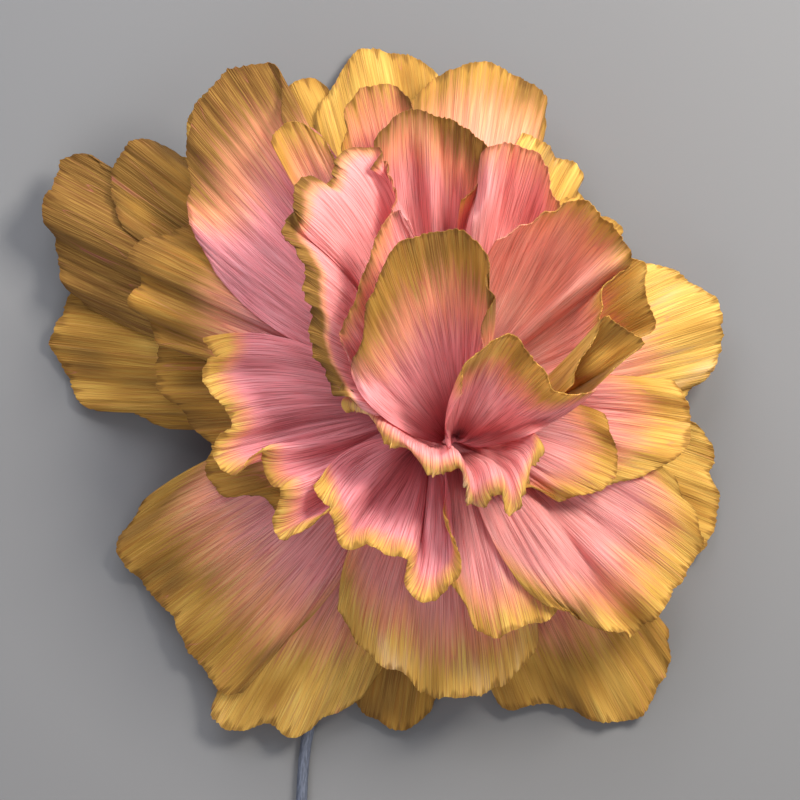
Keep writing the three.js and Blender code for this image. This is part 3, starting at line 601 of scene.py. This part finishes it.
# Thin creases painted deeper rose, a painted shade along the folds, painted shade in the grooves between the
# ribs and painted highlights along their crests.
crease = abs(streaks(crepe, layout, CREASE_PITCH, CREASE_LENGTH, detail=1.0) - 0.5)
painted = crepe.mix(crease.rise(0.006, 0.0) * 0.35, painted, DEEP_ROSE)
painted_groove_shade = crepe.mix(1.0, painted, GROOVE_SHADE, "MULTIPLY")
shaded = crepe.mix((0.5 - ribs).rise(0.0, 0.16) * (0.8 - glow * 0.4), painted, painted_groove_shade)
painted_crest_highlight = crepe.mix(1.0, painted, painted, "SCREEN")
shaded = crepe.mix((ribs - 0.53).rise(0.0, 0.14) * 0.6, shaded, painted_crest_highlight)
rib_height = ribs + broad * 0.1
relief = crepe.node("ShaderNodeBump", {}, {"Strength": 0.9, "Distance": 0.0006, "Height": rib_height})
paper = crepe.node("ShaderNodeBsdfPrincipled", {},
                   {"Base Color": shaded, "Roughness": 0.78, "Specular IOR Level": 0.3, "Sheen Weight": 0.08,
                    "Normal": relief}, "BSDF")
# The light that comes through the paper from behind has the same dyes, one shader for each.
rose_light, salmon_light, deep_light, yellow_light, gold_light, groove_shade_through = (
    crepe.node("ShaderNodeBsdfTranslucent", {}, {"Color": one_dye, "Normal": relief}, "BSDF")
    for one_dye in (ROSE, SALMON, DEEP_ROSE, YELLOW, OLD_GOLD, RIM_BROWN))
through = crepe.mix_shaders(glow, rose_light, salmon_light)
through = crepe.mix_shaders(from_foot.rise(0.40, 0.0), through, deep_light)
gold_through = crepe.mix_shaders(tone.rise(-0.2, 0.9), yellow_light, gold_light)
through = crepe.mix_shaders(ragged.rise(-0.06, 0.10), through, gold_through)
# Painted shade in the grooves between the ribs, on the light that comes through as well.
through = crepe.mix_shaders((0.5 - ribs).rise(0.0, 0.16) * 0.35, through, groove_shade_through)
crepe.surface(crepe.mix_shaders(SHARE_THROUGH, paper, through))
for piece in petal_pieces:
    piece.data.materials.append(crepe.material)


# ---- Petal block ----
# The pulp cone under the petals and inside them, painted rose so that no gap shows pale.
# It keeps the shape that it has in the frame, and only gets its paint.
PULP_ROSE = dye_colour(214, 112, 122)
PULP_SHADE = dye_colour(176, 82, 92)

pulp = Finish("painted_pulp")
pulp_place = pulp.node("ShaderNodeTexCoord", {}, {}, "Object")
lumps = pulp.node("ShaderNodeTexNoise", {}, {"Vector": pulp_place, "Scale": 420.0, "Detail": 3.0}, "Fac")
uneven = pulp.node("ShaderNodeBump", {}, {"Strength": 0.6, "Distance": 0.0006, "Height": lumps})
paint = pulp.mix(lumps.rise(0.35, 0.65), PULP_SHADE, PULP_ROSE)
pulp.surface(pulp.node("ShaderNodeBsdfPrincipled", {},
                       {"Base Color": paint, "Roughness": 0.9, "Normal": uneven}, "BSDF"))
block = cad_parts["petal_block"]
block.data.materials.clear()
block.data.materials.append(pulp.material)


# ---- Calyx ----
# Green crepe wound round the wire under the block until it makes a knob, which hides the
# glue of the lowest petals.  Each turn of the strip stands a little proud of the one below.
CALYX_TOP = -18.5
CALYX_BOTTOM = -30
CALYX_RADIUS = 21.5
CALYX_BORE = 3.3
CALYX_TURNS = 6
CALYX_STEP = 0.35
KNOB_SIDES = 120
KNOB_ROWS = 49
KNOB_BORE_STRIDE = 4
GREEN = dye_colour(106, 122, 74)
DARK_GREEN = dye_colour(70, 86, 48)


def ring_piece(name, points, layout):
    """A torus moved onto points that close on themselves both ways, turned to face outwards."""
    bpy.ops.object.select_all(action="DESELECT")
    bpy.ops.mesh.primitive_torus_add(major_segments=points.shape[0], minor_segments=points.shape[1])
    piece = bpy.context.object
    piece.name = name
    piece.data.name = name
    piece.data.vertices.foreach_set("co", (points * MM + head).astype(np.float32).ravel())
    corners = np.zeros(len(piece.data.loops), dtype=np.int32)
    piece.data.loops.foreach_get("vertex_index", corners)
    spots = layout.reshape(-1, 2)[corners]
    piece.data.uv_layers.active.data.foreach_set("uv", spots.astype(np.float32).ravel())
    bpy.ops.object.mode_set(mode="EDIT")
    bpy.ops.mesh.select_all(action="SELECT")
    bpy.ops.mesh.normals_make_consistent(inside=False)
    bpy.ops.object.mode_set(mode="OBJECT")
    bpy.ops.object.shade_smooth_by_angle(angle=math.radians(40))
    return piece


knob_turn = np.linspace(0, 2 * math.pi, KNOB_SIDES, endpoint=False)[:, None]
depth = np.linspace(0, 1, KNOB_ROWS)[None, :]
winding = CALYX_STEP * ((depth * CALYX_TURNS + knob_turn / (2 * math.pi)) % 1)
knob = CALYX_BORE + (CALYX_RADIUS - CALYX_BORE - CALYX_STEP) * (1 - eased(0.3, 1.05, depth)) + winding
back_up = depth[:, ::-KNOB_BORE_STRIDE]
bore = CALYX_BORE + 0 * knob_turn + 0 * back_up
knob_radius = np.concatenate([knob, bore], axis=1)
down_and_up = np.concatenate([depth, back_up], axis=1)
knob_height = CALYX_TOP + (CALYX_BOTTOM - CALYX_TOP) * down_and_up + 0 * knob_turn
knob_points = BLOCK_PLACE + np.stack([knob_radius * np.cos(knob_turn), knob_radius * np.sin(knob_turn),
                                      knob_height], axis=-1)
knob_layout = np.stack([knob_turn * CALYX_RADIUS + 0 * knob_radius, -knob_height], axis=-1)
calyx = ring_piece("calyx_winding", knob_points, knob_layout)

green = Finish("green_crepe")
leaf_layout = green.node("ShaderNodeUVMap", {"uv_map": "UVMap"}, {})
leaf_ribs = streaks(green, leaf_layout, pitch=0.6, length=14, detail=1.5)
leaf_tone = streaks(green, leaf_layout, pitch=8, length=20, detail=2.0)
leaf = green.mix((leaf_ribs * 0.6 + leaf_tone * 0.6).rise(0.4, 0.8), DARK_GREEN, GREEN)
leaf_relief = green.node("ShaderNodeBump", {}, {"Strength": 0.7, "Distance": 0.0006, "Height": leaf_ribs})
green.surface(green.node("ShaderNodeBsdfPrincipled", {},
                         {"Base Color": leaf, "Roughness": 0.85, "Normal": leaf_relief}, "BSDF"))
calyx.data.materials.append(green.material)
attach(calyx, "root")
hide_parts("calyx")


# ---- Sepals ----
# Five pointed leaves of the same green crepe, glued round the knob by their feet, with
# their tips spread under the lowest petals.
SEPALS = 5
SEPAL_FIRST = 30
SEPAL_FOOT = -21
SEPAL_REACH = 62
SEPAL_HALF_WIDTH = 11
SEPAL_BELLY = (0, 0, 3)
SEPAL_RIPPLE = 0.25
SEPAL_RIPPLE_PITCH = 7
SEPAL_SEED = 71
SEPAL_COLUMNS = 41
SEPAL_ROWS = 31
# The outline of a leaf: how far out and aside each point is, as shares, and its height.
LEAF = [(0.52, -0.85, -27), (0.78, -0.8, -33), (1, 0, -38), (0.78, 0.8, -33), (0.52, 0.85, -27)]

for number in range(SEPALS):
    dice = np.random.default_rng(number + SEPAL_SEED)
    side = SEPAL_FIRST + 360 / SEPALS * number
    angle = math.radians(side)
    rim = [(BLOCK_PLACE[0] + SEPAL_REACH * out * math.cos(angle) - SEPAL_HALF_WIDTH * aside * math.sin(angle),
            BLOCK_PLACE[1] + SEPAL_REACH * out * math.sin(angle) + SEPAL_HALF_WIDTH * aside * math.cos(angle),
            low) for out, aside, low in LEAF]
    across = np.linspace(-1, 1, SEPAL_COLUMNS)[None, :] * SEPAL_HALF_WIDTH
    t = np.linspace(0, 1, SEPAL_ROWS)[:, None] * np.ones_like(across)
    sheet = petal_sheet(side, SEPAL_FOOT, rim, SEPAL_BELLY, PLAIN["peak"], t)
    ripple = SEPAL_RIPPLE * wander(dice, across, SEPAL_RIPPLE_PITCH) * eased(0, 0.4, t)
    sheet += normals(sheet) * ripple[..., None]
    sepal = sheet_piece(f"sepal_{number + 1}_leaf", sheet, across + 0 * t, t * SEPAL_REACH)
    finish_sheet(sepal, PAPER)
    sepal.data.materials.append(green.material)
    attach(sepal, "root")
    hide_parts(f"sepal_{number + 1}")


# ---- Stem ----
# A steel wire with slate grey paper tape wound round it in a long spiral, each turn lapped
# over the last.  It comes down out of the knob, bends, and lies along the table.
STEM_ROUTE = [(12, 12, -18.2), (12, 12, -25), (12, 12, -32), (11, 7, -40), (6, -8, -48), (-2, -29, -51.5),
              (-16, -62, -52), (-37, -108, -52), (-55, -155, -52), (-59, -200, -52), (-59, -270, -52),
              (-59, -345, -52)]
STEM_RADIUS = 3.0
TAPE_BORE = 1.8
TAPE_LAP = 9.0
TAPE_STEP = 0.22
STEM_STATIONS = 210
TAPE_SIDES = 36
TAPE_BORE_STRIDE = 6
SLATE = dye_colour(92, 99, 116)
DARK_SLATE = dye_colour(64, 70, 84)
STEEL = dye_colour(150, 151, 153)

line = rim_points(STEM_ROUTE, STEM_STATIONS)
heading = np.gradient(line, axis=0)
heading /= np.linalg.norm(heading, axis=1, keepdims=True)
# The two directions across the stem, taken from one that the stem never runs along.
beside = np.cross(heading, (0, 0.2, 1))
beside /= np.linalg.norm(beside, axis=1, keepdims=True)
above = np.cross(beside, heading)
walked = np.concatenate([[0], np.cumsum(np.linalg.norm(np.diff(line, axis=0), axis=1))])
tape_turn = np.linspace(0, 2 * math.pi, TAPE_SIDES, endpoint=False)[:, None]
lap = (walked[None, :] / TAPE_LAP + tape_turn / (2 * math.pi)) % 1
outer = STEM_RADIUS - TAPE_STEP * lap
inner = TAPE_BORE + 0 * tape_turn + 0 * walked[None, ::-TAPE_BORE_STRIDE]
stations = np.concatenate([np.arange(len(line)), np.arange(len(line))[::-TAPE_BORE_STRIDE]])
tape_radius = np.concatenate([outer, inner], axis=1)
out = np.cos(tape_turn)[..., None] * beside[stations] + np.sin(tape_turn)[..., None] * above[stations]
tube = line[stations] + tape_radius[..., None] * out
tube_layout = np.stack([tape_turn * STEM_RADIUS + 0 * tape_radius, walked[stations] + 0 * tape_turn], axis=-1)
stem = ring_piece("stem_tape_winding", tube, tube_layout)

tape = Finish("slate_tape")
tape_layout = tape.node("ShaderNodeUVMap", {"uv_map": "UVMap"}, {})
tape_ribs = streaks(tape, tape_layout, pitch=0.8, length=5, detail=2.0)
tape_tone = tape.mix(tape_ribs.rise(0.3, 0.7), DARK_SLATE, SLATE)
tape_relief = tape.node("ShaderNodeBump", {}, {"Strength": 0.5, "Distance": 0.0003, "Height": tape_ribs})
tape.surface(tape.node("ShaderNodeBsdfPrincipled", {},
                       {"Base Color": tape_tone, "Roughness": 0.6, "Normal": tape_relief}, "BSDF"))
stem.data.materials.append(tape.material)
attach(stem, "root")
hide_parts("stem_tape")

steel = Finish("drawn_steel")
steel_place = steel.node("ShaderNodeTexCoord", {}, {}, "Object")
drawn = steel.node("ShaderNodeTexNoise", {}, {"Vector": steel_place, "Scale": 900.0, "Detail": 2.0}, "Fac")
steel.surface(steel.node("ShaderNodeBsdfPrincipled", {},
                         {"Base Color": STEEL, "Metallic": 1.0, "Roughness": drawn * 0.3 + 0.25}, "BSDF"))
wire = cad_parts["stem_wire"]
wire.data.materials.clear()
wire.data.materials.append(steel.material)


# ---- Floor and light ----
# A plain pale table top, a warm lamp high on the right, a larger and cooler one past the top
# of the blossom, and a weak one in front.
FLOOR_SIZE = 8
FLOOR = dye_colour(108, 110, 114)
PALER_FLOOR = dye_colour(116, 116, 117)
ROOM_LIGHT = (0.70, 0.72, 0.76, 1)
ROOM_STRENGTH = 0.62

bpy.ops.object.select_all(action="DESELECT")
bpy.ops.mesh.primitive_plane_add(size=FLOOR_SIZE, location=(0, 0, 0))
floor = bpy.context.object
floor.name = "floor"
table_top = Finish("table_top")
grain = table_top.node("ShaderNodeTexNoise", {}, {"Scale": 6.0, "Detail": 3.0}, "Fac")
top_colour = table_top.mix(grain, FLOOR, PALER_FLOOR)
table_top.surface(table_top.node("ShaderNodeBsdfPrincipled", {},
                                 {"Base Color": top_colour, "Roughness": 0.9}, "BSDF"))
floor.data.materials.append(table_top.material)


def lamp(name, place, size, power, colour):
    """A square soft lamp that looks at the head."""
    data = bpy.data.lights.new(name, "AREA")
    data.size = size
    data.energy = power
    data.color = colour
    made = bpy.data.objects.new(name, data)
    made.location = Vector(head) + Vector(place)
    made.rotation_euler = (-Vector(place)).to_track_quat("-Z", "Y").to_euler()
    bpy.context.scene.collection.objects.link(made)


lamp("key", place=(0.58, 0.56, 0.80), size=0.4, power=20, colour=(1.0, 0.94, 0.84))
lamp("fill", place=(-0.35, 1.25, 0.85), size=1.2, power=24, colour=(0.97, 0.97, 1.0))
lamp("front", place=(-0.45, -1.05, 0.9), size=0.9, power=6, colour=(1.0, 0.95, 0.92))

world = bpy.data.worlds.new("room")
world.use_nodes = True
background = world.node_tree.nodes["Background"]
background.inputs["Color"].default_value = ROOM_LIGHT
background.inputs["Strength"].default_value = ROOM_STRENGTH
bpy.context.scene.world = world
bpy.context.scene.view_settings.view_transform = "Standard"
